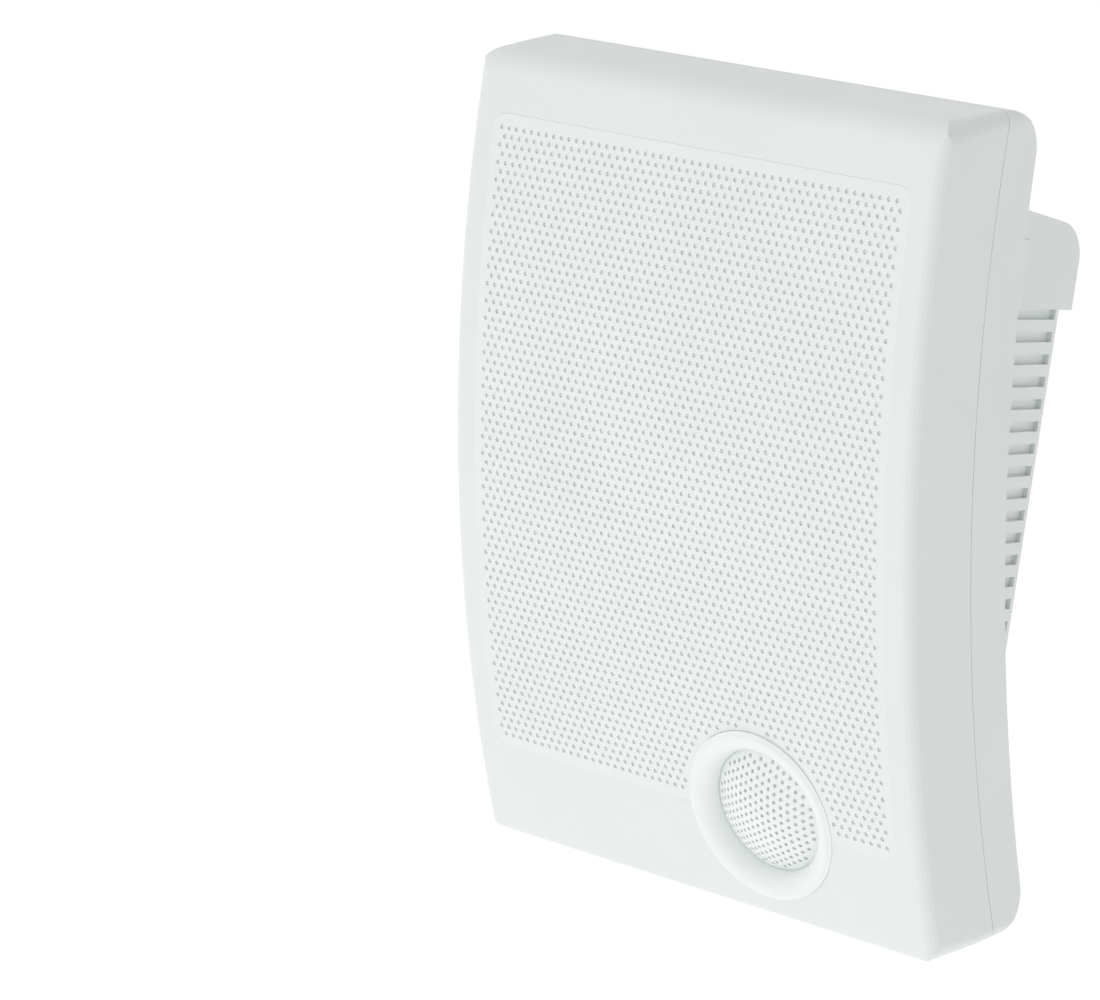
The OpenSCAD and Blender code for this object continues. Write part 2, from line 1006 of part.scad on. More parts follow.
module well_half(s, grow) {
  translate([0, s * (well_len - well_w) / 2])
    circle(d = well_w + 2 * grow);
  translate([-well_w / 2 - grow, -(well_len - well_w) / 2])
    square([well_w + 2 * grow, well_len - well_w]);
}

module rear_shell() {
  color("gainsboro")
    difference() {
      union() {
        difference() {
          rear_outer();
          leaned()
            slab(wall);
          box_form(skin);
          hood_form(skin);
        }
        // Walls of the recess, the keyhole pocket, the wells and the posts.
        intersection() {
          across(recess_w + 2 * skin)
            recess_side(skin);
          box_form(skin / 2);
        }
        deep(plate_y - key_pocket, plate_y - 1)
          keyhole_form(skin + 2);
        intersection() {
          wells(2, well_seat - well_floor, 70);
          leaned()
            slab(wall / 2);
        }
        board_spots()
          tube(board_y, plate_y - 1, 3);
        deep(plate_y - channel_depth - skin, plate_y - 2)
          translate([-channel_w / 2 - skin, recess_top])
            square([channel_w + 2 * skin, plate_top - recess_top]);
      }
      behind_cabinet(20)
        across(recess_w)
          recess_side(0);
      deep(plate_y - channel_depth, 5)
        translate([-channel_w / 2, recess_top - 5])
          square([channel_w, 40]);
      deep(plate_y - skin, 5)
        keyhole_form(0);
      deep(plate_y - key_pocket + 2, plate_y - skin + 0.1)
        keyhole_form(2);
      wells(0, well_seat, 90);
      leaned()
        boss_spots()
          tube(0, 60, 2);
      pad_spots()
        tube(plate_y - pad_sink, 5, pad_d / 2 + fit);
      louvres();
      deep(floor_y - skin - 5, floor_y + 5)
        translate([-block_w / 2 - fit, block_foot - fit])
          square([block_w + 2 * fit, block_top - block_foot + 2 * fit]);
      for (x = [-1, 1])
        translate([x * terminal_span / 2, 0, block_mid])
          tube(floor_y - 20, floor_y + 5, 1.6);
      board_spots()
        tube(board_y - 5, plate_y - skin, 1.05);
    }
}

module wall_pads() {
  color("white")
    pad_spots()
      turned()
        polygon([
          [0, plate_y - pad_sink], [pad_d / 2, plate_y - pad_sink], [pad_d / 2, pad_proud - 0.3],
          [pad_d / 2 - 0.3, pad_proud], [0, pad_proud]
        ]);
}

// Push terminal in the recess.

module pole_spots() {
  for (x = [-1, 1])
    translate([x * pole_span / 2, 0, 0])
      children();
}

module terminal_block() {
  color("black")
    difference() {
      union() {
        deep(floor_y - skin - 7, block_face)
          translate([-block_w / 2, block_foot])
            square([block_w, block_top - block_foot]);
        deep(ear_y, floor_y - skin)
          translate([-block_w / 2 - ear_w, block_foot])
            square([block_w + 2 * ear_w, block_top - block_foot]);
        for (x = [-pole_span / 2, 0, pole_span / 2])
          deep(block_face - 4, block_face)
            translate([x - 4, block_foot - 2])
              square([8, 3]);
      }
      // Wire holes, flared at the mouth.
      pole_spots()
        translate([0, 0, hole_mid])
          rotate([90, 0, 0]) {
            translate([0, 0, -block_face - 1])
              cylinder(r = 1.5, h = 14, $fn = 32);
            translate([0, 0, -block_face - eps])
              cylinder(r1 = 1.9, r2 = 1.4, h = 1.6, $fn = 32);
          }
      // Guides of the push tabs.
      pole_spots()
        deep(block_face - tab_body - tab_travel - 1.1, block_face + 5)
          translate([-tab_w / 2 - 0.15, tab_mid - tab_h / 2 - 0.15])
            square([tab_w + 0.3, tab_h + 0.3]);
      // A fine ledge across the face, between the holes and the tabs.
      deep(block_face - 0.5, block_face + 5)
        translate([-block_w / 2 - 1, tab_mid + tab_h / 2 + 0.8])
          square([block_w + 2, 0.6]);
      for (x = [-1, 1])
        translate([x * terminal_span / 2, 0, block_mid])
          tube(ear_y - 5, ear_y + 20, 1.35);
    }
}

module push_tab() {
  deep(block_face - tab_body, block_face + tab_proud)
    translate([-tab_w / 2, tab_mid - tab_h / 2])
      square([tab_w, tab_h]);
}

module ribbed_tab() {
  difference() {
    push_tab();
    for (i = [-1:1])
      deep(block_face + tab_proud - 0.4, block_face + 5)
        translate([-tab_w / 2 - 1, tab_mid + i * 1.8 - 0.3])
          square([tab_w + 2, 0.6]);
  }
}

module push_tab_black() {
  color("black")
    translate([pole_span / 2, 0, 0])
      ribbed_tab();
}

module push_tab_red() {
  color("red")
    translate([-pole_span / 2, 0, 0])
      ribbed_tab();
}

module terminal_contacts() {
  back = floor_y - skin - 7;
  color("silver")
    pole_spots()
      deep(back - 9, back)
        translate([-2.4, 37])
          square([4.8, 0.8]);
}

module terminal_screws() {
  color("silver")
    for (x = [-1, 1])
      translate([x * terminal_span / 2, 0, block_mid])
        screw_forward(floor_y, 1.3, 2.75, 1.9, 7);
}

// Crossover on its posts in the box.

module crossover_board() {
  color("peru")
    difference() {
      deep(board_y - board_t, board_y)
        translate([-board_w / 2, board_mid - board_h / 2])
          square([board_w, board_h]);
      board_spots()
        tube(board_y - 5, board_y + 5, 1.3);
    }
}

module board_spots() {
  for (x = [-1, 1])
    for (z = [-1, 1])
      translate([x * (board_w / 2 - 4), 0, board_mid + z * (board_h / 2 - 4)])
        children();
}

module crossover_coil() {
  y = board_y - board_t;
  color("chocolate")
    translate([-14, 0, board_mid])
      turned()
        polygon([
          [4, y], [13, y], [13, y - 1], [11, y - 1], [11, y - 8], [13, y - 8], [13, y - 9],
          [4, y - 9]
        ]);
}

module crossover_capacitor() {
  color("steelblue")
    translate([13, board_y - board_t - 5.5, board_mid + 8])
      rotate([0, 90, 0])
        cylinder(r = 5.5, h = 22, center = true);
}

module crossover_resistor() {
  color("ivory")
    translate([3, board_y - board_t - 6, board_mid - 13])
      cube([20, 6, 6]);
}

module board_screws() {
  color("silver")
    board_spots()
      screw(board_y - board_t, 1, 2, 1.4, 5);
}

// Screws of the case.

module baffle_screws() {
  color("silver")
    leaned()
      post_spots()
        screw_forward(baffle_y + baffle_t, 1.35, 2.8, 1.8, 10);
}

module case_screws() {
  color("silver")
    leaned()
      boss_spots()
        screw_forward(well_seat, 1.55, 3.8, 2.4, 14);
}

front_shell();
front_grille();
front_scrim();
rear_shell();
baffle();
tweeter_ring();
tweeter_mesh();
tweeter_plate();
tweeter_dome();
tweeter_pole_plate();
tweeter_magnet();
tweeter_cup();
tweeter_screws();
woofer_gasket();
woofer_basket();
woofer_surround();
woofer_cone();
woofer_dust_cap();
woofer_coil();
woofer_spider();
woofer_top_plate();
woofer_magnet();
woofer_yoke();
woofer_screws();
terminal_block();
terminal_contacts();
push_tab_black();
push_tab_red();
terminal_screws();
crossover_board();
crossover_coil();
crossover_capacitor();
crossover_resistor();
board_screws();
baffle_screws();
case_screws();
wall_pads();
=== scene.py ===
import json
import math

import bmesh
import bpy
from mathutils import Matrix, Vector, geometry


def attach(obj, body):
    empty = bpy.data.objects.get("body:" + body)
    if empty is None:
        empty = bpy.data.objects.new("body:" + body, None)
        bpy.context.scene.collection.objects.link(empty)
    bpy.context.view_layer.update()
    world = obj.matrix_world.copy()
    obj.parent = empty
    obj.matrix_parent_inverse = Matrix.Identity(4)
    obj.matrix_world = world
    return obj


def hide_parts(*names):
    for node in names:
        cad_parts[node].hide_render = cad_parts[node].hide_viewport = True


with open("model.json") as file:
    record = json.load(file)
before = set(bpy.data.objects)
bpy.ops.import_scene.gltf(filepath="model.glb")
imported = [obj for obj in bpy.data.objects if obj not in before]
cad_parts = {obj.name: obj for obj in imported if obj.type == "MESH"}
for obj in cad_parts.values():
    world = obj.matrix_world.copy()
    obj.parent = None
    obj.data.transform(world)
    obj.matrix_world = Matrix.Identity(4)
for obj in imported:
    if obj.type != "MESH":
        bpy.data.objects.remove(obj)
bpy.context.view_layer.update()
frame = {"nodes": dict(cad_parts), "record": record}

mm = 0.001
print("wall speaker: frame loaded,", len(frame["nodes"]), "nodes")


# Small helpers for shader trees.

def newMaterial(name):
    material = bpy.data.materials.new(name)
    material.use_nodes = True
    tree = material.node_tree
    tree.nodes.clear()
    shader = tree.nodes.new("ShaderNodeBsdfPrincipled")
    output = tree.nodes.new("ShaderNodeOutputMaterial")
    tree.links.new(shader.outputs["BSDF"], output.inputs["Surface"])
    return material, tree, shader


def objectPoint(tree, scale=(1, 1, 1), turn=(0, 0, 0)):
    coordinates = tree.nodes.new("ShaderNodeTexCoord")
    mapping = tree.nodes.new("ShaderNodeMapping")
    mapping.inputs["Scale"].default_value = scale
    mapping.inputs["Rotation"].default_value = turn
    tree.links.new(coordinates.outputs["Object"], mapping.inputs["Vector"])
    return mapping.outputs["Vector"]


def cloud(tree, point, size, detail=3.0, roughness=0.55):
    noise = tree.nodes.new("ShaderNodeTexNoise")
    noise.inputs["Scale"].default_value = 1 / size
    noise.inputs["Detail"].default_value = detail
    noise.inputs["Roughness"].default_value = roughness
    tree.links.new(point, noise.inputs["Vector"])
    return noise.outputs["Fac"]


def remap(tree, value, low, high, outLow, outHigh):
    node = tree.nodes.new("ShaderNodeMapRange")
    node.inputs["From Min"].default_value = low
    node.inputs["From Max"].default_value = high
    node.inputs["To Min"].default_value = outLow
    node.inputs["To Max"].default_value = outHigh
    tree.links.new(value, node.inputs["Value"])
    return node.outputs["Result"]


def blendColours(tree, factor, first, second):
    node = tree.nodes.new("ShaderNodeMix")
    node.data_type = "RGBA"
    tree.links.new(factor, node.inputs["Factor"])
    for socket, colour in ((node.inputs[6], first), (node.inputs[7], second)):      # its two colour sockets
        if hasattr(colour, "is_output"):
            tree.links.new(colour, socket)
        else:
            socket.default_value = (*colour, 1)
    return node.outputs[2]


def combine(tree, operation, first, second):
    node = tree.nodes.new("ShaderNodeMath")
    node.operation = operation
    for socket, value in zip(node.inputs, (first, second)):
        if hasattr(value, "is_output"):
            tree.links.new(value, socket)
        else:
            socket.default_value = value
    return node.outputs["Value"]


def blendValues(tree, first, second, share):
    return combine(tree, "ADD", combine(tree, "MULTIPLY", first, 1 - share),
                   combine(tree, "MULTIPLY", second, share))


def addBump(tree, shader, height, strength, distance):
    bump = tree.nodes.new("ShaderNodeBump")
    bump.inputs["Strength"].default_value = strength
    bump.inputs["Distance"].default_value = distance
    tree.links.new(height, bump.inputs["Height"])
    tree.links.new(bump.outputs["Normal"], shader.inputs["Normal"])


# Uneven gloss: the middle of a noise's range is spread over the finish's own roughness.
def addRoughness(tree, shader, value, look):
    rough = remap(tree, value, 0.3, 0.7, look["roughness"][0], look["roughness"][1])
    tree.links.new(rough, shader.inputs["Roughness"])


# Moulded plastic: faint flow clouds in the colour, uneven satin, spark-eroded grain.
def mouldedPlastic(name, look):
    material, tree, shader = newMaterial(name)
    point = objectPoint(tree)
    flow = cloud(tree, point, look["flowSize"], 2.5)
    colour = blendColours(tree, remap(tree, flow, 0.32, 0.68, 0, 1), look["colour"], look["shade"])
    tree.links.new(colour, shader.inputs["Base Color"])
    grain = cloud(tree, point, look["grainSize"], 3.0, 0.6)
    patch = cloud(tree, point, look["flowSize"] * 0.35, 3.0)
    uneven = blendValues(tree, grain, patch, 0.65)
    addRoughness(tree, shader, uneven, look)
    shader.inputs["Specular IOR Level"].default_value = look["gloss"]
    addBump(tree, shader, grain, look["grain"], look["grainSize"] * 0.25)
    return material


# Plated or turned steel: fine drawn lines, cloudy plating.
def platedSteel(name, look):
    material, tree, shader = newMaterial(name)
    point = objectPoint(tree)
    lines = cloud(tree, objectPoint(tree, scale=look["drawn"]), look["lineSize"], 2.0)
    plating = cloud(tree, point, look["cloudSize"], 4.0, 0.6)
    colour = blendColours(tree, remap(tree, plating, 0.35, 0.7, 0, 1), look["colour"], look["shade"])
    tree.links.new(colour, shader.inputs["Base Color"])
    uneven = blendValues(tree, lines, plating, 0.5)
    addRoughness(tree, shader, uneven, look)
    shader.inputs["Metallic"].default_value = 1.0
    addBump(tree, shader, lines, look["bump"], look["lineSize"] * 0.3)
    return material


# Matt fibre, ferrite, cement and rubber: speckle over clouds.
def mattBody(name, look):
    material, tree, shader = newMaterial(name)
    point = objectPoint(tree)
    clouds = cloud(tree, point, look["cloudSize"], 4.0)
    specks = cloud(tree, point, look["speckSize"], 2.0, 0.7)
    colour = blendColours(tree, remap(tree, clouds, 0.35, 0.65, 0, 1), look["colour"], look["shade"])
    flecks = remap(tree, specks, 0.58, 0.72, 0, look["specks"])
    flecked = blendColours(tree, flecks, colour, look["speckColour"])
    tree.links.new(flecked, shader.inputs["Base Color"])
    addRoughness(tree, shader, specks, look)
    shader.inputs["Specular IOR Level"].default_value = look["gloss"]
    addBump(tree, shader, specks, look["bump"], look["speckSize"] * 0.4)
    return material


# Fine wire wound round an axis, or woven cloth: two crossing waves, with painted shade in the grooves
# between turns or threads.
def woundOrWoven(name, look):
    material, tree, shader = newMaterial(name)
    bands = []
    for turn in look["turns"]:
        wave = tree.nodes.new("ShaderNodeTexWave")
        wave.wave_type = "BANDS"
        wave.bands_direction = "Z"
        wave.inputs["Scale"].default_value = 1 / look["pitch"] / 6.28      # a wave repeats after 6.28 units
        wave.inputs["Distortion"].default_value = look["waver"]
        wave.inputs["Detail Scale"].default_value = 2.0
        tree.links.new(objectPoint(tree, turn=turn), wave.inputs["Vector"])
        bands.append(wave.outputs["Fac"])
    height = bands[0]
    for band in bands[1:]:
        height = combine(tree, "MULTIPLY", height, band)
    clouds = cloud(tree, objectPoint(tree), look["cloudSize"], 3.0)
    # Painted shade: the lows of the waves, the grooves between wire turns or threads, take the darker
    # colour.
    colour = blendColours(tree, height, look["shade"], look["colour"])
    toned = blendColours(tree, remap(tree, clouds, 0.4, 0.7, 0, 0.5), colour, look["shade"])
    tree.links.new(toned, shader.inputs["Base Color"])
    addRoughness(tree, shader, clouds, look)
    shader.inputs["Metallic"].default_value = look["metal"]
    addBump(tree, shader, height, look["bump"], look["pitch"] * 0.4)
    return material


shellLook = {
    "colour": (0.800, 0.838, 0.826), "shade": (0.782, 0.822, 0.812),
    "flowSize": 60 * mm, "grainSize": 0.45 * mm, "grain": 0.10,
    "roughness": (0.36, 0.46), "gloss": 0.45,
}
sheetLook = {
    "colour": (0.820, 0.856, 0.846), "shade": (0.805, 0.842, 0.834),
    "flowSize": 45 * mm, "grainSize": 0.35 * mm, "grain": 0.12,
    "roughness": (0.40, 0.50), "gloss": 0.40,
}
ringLook = {
    "colour": (0.868, 0.902, 0.893), "shade": (0.852, 0.888, 0.880),
    "flowSize": 25 * mm, "grainSize": 0.40 * mm, "grain": 0.08,
    "roughness": (0.34, 0.44), "gloss": 0.45,
}
padLook = {
    "colour": (0.80, 0.81, 0.81), "shade": (0.76, 0.77, 0.78), "speckColour": (0.70, 0.71, 0.72),
    "cloudSize": 8 * mm, "speckSize": 0.5 * mm, "specks": 0.2, "roughness": (0.55, 0.7),
    "gloss": 0.3, "bump": 0.2,
}
blackLook = {
    "colour": (0.018, 0.018, 0.020), "shade": (0.030, 0.030, 0.032),
    "flowSize": 9 * mm, "grainSize": 0.3 * mm, "grain": 0.25, "roughness": (0.32, 0.48), "gloss": 0.5,
}
redLook = {
    "colour": (0.56, 0.022, 0.020), "shade": (0.45, 0.016, 0.016),
    "flowSize": 6 * mm, "grainSize": 0.3 * mm, "grain": 0.18, "roughness": (0.30, 0.42), "gloss": 0.5,
}
greyLook = {
    "colour": (0.10, 0.10, 0.105), "shade": (0.13, 0.13, 0.135),
    "flowSize": 30 * mm, "grainSize": 0.6 * mm, "grain": 0.3, "roughness": (0.5, 0.65), "gloss": 0.4,
}
zincLook = {
    "colour": (0.62, 0.64, 0.66), "shade": (0.48, 0.50, 0.50), "drawn": (1, 12, 1),
    "lineSize": 0.8 * mm, "cloudSize": 2.5 * mm, "roughness": (0.22, 0.42), "bump": 0.12,
}
frameLook = {
    "colour": (0.035, 0.035, 0.037), "shade": (0.05, 0.05, 0.052), "speckColour": (0.09, 0.09, 0.09),
    "cloudSize": 14 * mm, "speckSize": 0.5 * mm, "specks": 0.4, "roughness": (0.45, 0.6),
    "gloss": 0.4, "bump": 0.25,
}
ferriteLook = {
    "colour": (0.075, 0.076, 0.080), "shade": (0.105, 0.106, 0.108), "speckColour": (0.17, 0.17, 0.17),
    "cloudSize": 12 * mm, "speckSize": 0.7 * mm, "specks": 0.7, "roughness": (0.55, 0.8),
    "gloss": 0.3, "bump": 0.4,
}
coneLook = {
    "colour": (0.045, 0.045, 0.050), "shade": (0.065, 0.064, 0.066), "speckColour": (0.12, 0.12, 0.12),
    "cloudSize": 7 * mm, "speckSize": 0.9 * mm, "specks": 0.8, "roughness": (0.75, 0.9),
    "gloss": 0.2, "bump": 0.7,
}
rollLook = {
    "colour": (0.028, 0.028, 0.030), "shade": (0.040, 0.040, 0.042), "speckColour": (0.06, 0.06, 0.06),
    "cloudSize": 12 * mm, "speckSize": 0.4 * mm, "specks": 0.3, "roughness": (0.45, 0.65),
    "gloss": 0.35, "bump": 0.2,
}
spiderLook = {
    "turns": ((0.2164, 0, 0), (0.2164, 1.5708, 0)), "pitch": 0.45 * mm, "waver": 0.4, "cloudSize": 9 * mm,
    "colour": (0.48, 0.31, 0.12), "shade": (0.26, 0.15, 0.05), "roughness": (0.7, 0.85),
    "metal": 0.0, "bump": 0.6,
}
scrimLook = {
    "turns": ((0.2182, 0, 0), (0.2182, 1.5708, 0)), "pitch": 0.30 * mm, "waver": 0.3, "cloudSize": 25 * mm,
    "colour": (0.92, 0.94, 0.94), "shade": (0.86, 0.88, 0.88), "roughness": (0.8, 0.9),
    "metal": 0.0, "bump": 0.4,
}
wireLook = {
    "turns": ((1.5708, 0, 0),), "pitch": 0.5 * mm, "waver": 0.2, "cloudSize": 5 * mm,
    "colour": (0.70, 0.30, 0.13), "shade": (0.28, 0.09, 0.03), "roughness": (0.22, 0.4),
    "metal": 1.0, "bump": 0.8,
}
boardLook = {
    "colour": (0.36, 0.20, 0.075), "shade": (0.29, 0.155, 0.055), "speckColour": (0.45, 0.29, 0.13),
    "cloudSize": 5 * mm, "speckSize": 0.4 * mm, "specks": 0.5, "roughness": (0.45, 0.6),
    "gloss": 0.4, "bump": 0.15,
}
filmLook = {
    "colour": (0.018, 0.060, 0.17), "shade": (0.025, 0.080, 0.21),
    "flowSize": 6 * mm, "grainSize": 0.8 * mm, "grain": 0.15, "roughness": (0.16, 0.28), "gloss": 0.6,
}
cementLook = {
    "colour": (0.62, 0.60, 0.53), "shade": (0.54, 0.52, 0.46), "speckColour": (0.42, 0.40, 0.36),
    "cloudSize": 4 * mm, "speckSize": 0.35 * mm, "specks": 0.8, "roughness": (0.8, 0.92),
    "gloss": 0.2, "bump": 0.6,
}

finishes = {
    "white_shell": mouldedPlastic("shellSatin", shellLook),
    "white_grille": mouldedPlastic("sheetPaint", sheetLook),
    "white_rubber": mattBody("padRubber", padLook),
    "grey_plastic": mouldedPlastic("baffleGrey", greyLook),
    "black_plastic": mouldedPlastic("terminalBlack", blackLook),
    "red_plastic": mouldedPlastic("tabRed", redLook),
    "zinc_steel": platedSteel("screwZinc", zincLook),
    "black_steel": mattBody("basketPaint", frameLook),
    "ferrite": mattBody("magnetFerrite", ferriteLook),
    "cone_paper": mattBody("conePaper", coneLook),
    "spider_cloth": woundOrWoven("spiderCloth", spiderLook),
    "black_rubber": mattBody("rollRubber", rollLook),
    "copper": woundOrWoven("coilWire", wireLook),
    "board": mattBody("pressedBoard", boardLook),
    "blue_film": mouldedPlastic("dippedFilm", filmLook),
    "cement": mattBody("castCement", cementLook),
    "white_cloth": woundOrWoven("scrimCloth", scrimLook),
}

for part in frame["record"]["subparts"]:
    node = frame["nodes"][part["node"]]
    node.data.materials.clear()
    node.data.materials.append(finishes[part["material_slot"]])
# The ring and its mesh are a little whiter than the shells.
ringPlastic = mouldedPlastic("ringWhite", ringLook)
for name in ("tweeter_ring", "tweeter_mesh"):
    frame["nodes"][name].data.materials[0] = ringPlastic
print("finishes given to", len(frame["nodes"]), "nodes")


# Puts a finished mesh into the scene as a piece that rides on the cabinet.
def addPiece(name, mesh, slot):
    mesh.shade_smooth()
    mesh.set_sharp_from_angle(angle=math.radians(40))
    mesh.materials.append(finishes[slot])
    piece = bpy.data.objects.new(name, mesh)
    bpy.context.scene.collection.objects.link(piece)
    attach(piece, "cabinet")
    return piece


# The perforated sheet and the cloth glued behind it, each cut as one plate and rolled to the cabinet's bow.
# Lengths are in millimetres and the lean in degrees.
sheet = {
    "reach": 96.8, "drop": 28.9, "lean": 12.5, "bow": 532.0,       # how the cabinet hangs
    "pitch": 3.05, "hole": 1.5, "sides": 12,
    "halfWidth": 78.5, "top": 104.9, "bottom": -91.3, "rim": 2.0, "corner": 5.0, "cornerSteps": 6,
    "borderStep": 3.0,
    "ringX": 28.0, "ringRadius": 27.6, "ringSides": 120, "holeToRing": 0.4,
    "layers": {
        "perforatedSheet": {
            "front": 0.0, "back": 0.6, "holes": True, "node": "front_grille", "slot": "white_grille",
        },
        "sheetCloth": {
            "front": 0.62, "back": 0.92, "holes": False, "node": "front_scrim", "slot": "white_cloth",
        },
    },
}


def cabinetPoint(look, x, arc, depth):
    turn = arc / look["bow"]
    radius = look["bow"] - depth
    lean = math.radians(look["lean"])
    y = look["bow"] - radius * math.cos(turn)
    z = radius * math.sin(turn)
    leaned = (y * math.cos(lean) - z * math.sin(lean), y * math.sin(lean) + z * math.cos(lean))
    return Vector((x, leaned[0] - look["reach"], leaned[1] - look["drop"])) * mm


def circleLoop(x, s, radius, sides):
    angles = [2 * math.pi * j / sides for j in range(sides)]
    return [(x + radius * math.sin(angle), s + radius * math.cos(angle)) for angle in angles]


def roundedLoop(look, low, high):
    halfWidth, radius, steps = look["halfWidth"] + look["rim"], look["corner"], look["cornerSteps"]
    corners = []
    turns = ((1, high, -1, 0), (-1, high, -1, 90), (-1, low, 1, 180), (1, low, 1, 270))
    for side, end, inward, start in turns:
        centre = (side * (halfWidth - radius), end + inward * radius)
        for i in range(steps + 1):
            angle = math.radians(start + 90 / steps * i)
            corners.append((centre[0] + radius * math.cos(angle), centre[1] + radius * math.sin(angle)))
    loop = []
    for i, (x, s) in enumerate(corners):
        nextX, nextS = corners[(i + 1) % len(corners)]
        parts = max(1, round(math.hypot(nextX - x, nextS - s) / look["borderStep"]))
        loop.extend((x + (nextX - x) * j / parts, s + (nextS - s) * j / parts) for j in range(parts))
    return loop


# Staggered rows, three to a chord of the bow, kept clear of the rim and of the tweeter ring.
def holePlaces(look):
    row = look["pitch"] * math.sqrt(3) / 2
    chords = math.ceil((look["top"] - look["bottom"] + 4) / (row * 3)) + 2      # some to spare
    turn = 2 * math.asin(row * 1.5 / look["bow"])
    start = math.asin((look["top"] + look["bottom"]) / 2 / look["bow"]) - turn * chords / 2
    radius = look["hole"] / 2
    across = math.ceil(look["halfWidth"] / look["pitch"])
    places = []
    for i in range(chords * 3):
        s = look["bow"] * (start + (i // 3 + 0.5) * turn + math.asin((i % 3 - 1) * row / look["bow"]))
        z = look["bow"] * math.sin(s / look["bow"])
        if not look["bottom"] + radius < z < look["top"] - radius:
            continue
        for c in range(-across, across + 1):
            x = (c + (i % 2) / 2 - 0.25) * look["pitch"]
            clear = math.hypot(x - look["ringX"], z - look["bottom"]) - look["ringRadius"] - radius
            if abs(x) < look["halfWidth"] - radius and clear > look["holeToRing"]:
                places.append((x, s))
    return places


# Triangles of the flat plate, cut along its outline, the disc for the ring and one loop for each hole.
def cutPlate(look, pierced):
    low, high = (look["bow"] * math.asin(look[end] / look["bow"]) for end in ("bottom", "top"))
    places = holePlaces(look)
    loops = [roundedLoop(look, low - look["rim"], high + look["rim"]),
             circleLoop(look["ringX"], low, look["ringRadius"], look["ringSides"])]
    firstHole = len(loops)
    if pierced:
        loops.extend(circleLoop(x, s, look["hole"] / 2, look["sides"]) for x, s in places)
    points, edges, loopOf = [], [], []
    for number, loop in enumerate(loops):
        base = len(points)
        points.extend(Vector(p) for p in loop)
        edges.extend((base + j, base + (j + 1) % len(loop)) for j in range(len(loop)))
        loopOf.extend([number] * len(loop))
    if not pierced:
        points.extend(Vector(p) for p in places)        # keeps the unpierced cloth to the bow
        loopOf.extend([-1] * len(places))
    flat, _, triangles, cameFrom, _, _ = geometry.delaunay_2d_cdt(points, edges, [], 0, 1e-6)
    owner = [max((loopOf[o] for o in came), default=-1) for came in cameFrom]
    halfWidth = look["halfWidth"] + look["rim"]
    kept = []
    for triangle in triangles:
        first = owner[triangle[0]]
        if first >= firstHole and all(owner[v] == first for v in triangle):
            continue                                    # the slug of a hole
        x = sum(flat[v].x for v in triangle) / 3
        s = sum(flat[v].y for v in triangle) / 3
        if math.hypot(x - look["ringX"], s - low) < look["ringRadius"]:
            continue                                    # the disc cut out for the ring
        cornerX = abs(x) - halfWidth + look["corner"]
        cornerS = abs(s - (low + high) / 2) - (high - low) / 2 - look["rim"] + look["corner"]
        if min(cornerX, cornerS) > 0 and math.hypot(cornerX, cornerS) > look["corner"]:
            continue                                    # outside a rounded corner
        kept.append(tuple(triangle))
    return flat, kept


# Front, back and the walls between them, along each edge that only one triangle has.
def plateFaces(kept, count):
    faces = list(kept)
    faces.extend(tuple(v + count for v in reversed(triangle)) for triangle in kept)
    walls = {}
    for triangle in kept:
        for a, b in zip(triangle, triangle[1:] + triangle[:1]):
            if (b, a) in walls:
                del walls[(b, a)]
            else:
                walls[(a, b)] = (b, a, a + count, b + count)
    return faces + list(walls.values())


def makeSheet(name, layer, look):
    flat, kept = cutPlate(look, layer["holes"])
    verts = [cabinetPoint(look, p.x, p.y, layer[depth]) for depth in ("front", "back") for p in flat]
    mesh = bpy.data.meshes.new(name)
    mesh.from_pydata(verts, [], plateFaces(kept, len(flat)))
    mesh.validate()
    used = bmesh.new()
    used.from_mesh(mesh)
    bmesh.ops.delete(used, geom=[v for v in used.verts if not v.link_faces], context="VERTS")
    used.to_mesh(mesh)
    used.free()
    piece = addPiece(name, mesh, layer["slot"])
    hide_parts(layer["node"])
    print(name, "made:", sum(len(f.vertices) - 2 for f in mesh.polygons), "triangles")


for layerName, sheetLayer in sheet["layers"].items():
    makeSheet(layerName, sheetLayer, sheet)


# A thin pale cloth behind the tweeter's mesh, domed like it.
meshCloth = {
    "ballCentre": 33.37, "ballRadius": 34.02, "reach": 18.4, "thick": 0.2, "rings": 10, "spokes": 48,
}


def makeMeshCloth(look, cabinet):
    arc = cabinet["bow"] * math.asin(cabinet["bottom"] / cabinet["bow"])
    centre = cabinetPoint(cabinet, cabinet["ringX"], arc, 0)
    inward = (cabinetPoint(cabinet, cabinet["ringX"], arc, 10) - centre).normalized()
    across = Vector((1, 0, 0))
    upward = inward.cross(across)
    spokes = look["spokes"]
    verts, faces = [], []
    for thick in (0, look["thick"]):
        for r in range(1, look["rings"] + 1):
            out = look["reach"] * r / look["rings"]
            depth = look["ballCentre"] - math.sqrt(look["ballRadius"] ** 2 - out ** 2) + thick
            for x, y in circleLoop(0, 0, out, spokes):
                verts.append(centre + (across * x + upward * y + inward * depth) * mm)
        verts.append(centre + inward * (look["ballCentre"] - look["ballRadius"] + thick) * mm)
    side = look["rings"] * spokes + 1
    for j in range(spokes):
        k = (j + 1) % spokes
        for base, order in ((0, 1), (side, -1)):
            faces.append((base + side - 1, base + j, base + k)[::order])
            for r in range(look["rings"] - 1):
                low, high = base + r * spokes, base + (r + 1) * spokes
                faces.append((low + j, high + j, high + k, low + k)[::order])
        rim = (look["rings"] - 1) * spokes
        faces.append((rim + j, side + rim + j, side + rim + k, rim + k))
    mesh = bpy.data.meshes.new("meshCloth")
    mesh.from_pydata(verts, [], faces)
    mesh.validate()
    made = bmesh.new()
    made.from_mesh(mesh)
    bmesh.ops.recalc_face_normals(made, faces=made.faces)
    made.to_mesh(mesh)
    made.free()
    addPiece("meshCloth", mesh, "white_cloth")
    print("cloth behind the tweeter mesh:", len(faces), "faces")


makeMeshCloth(meshCloth, sheet)


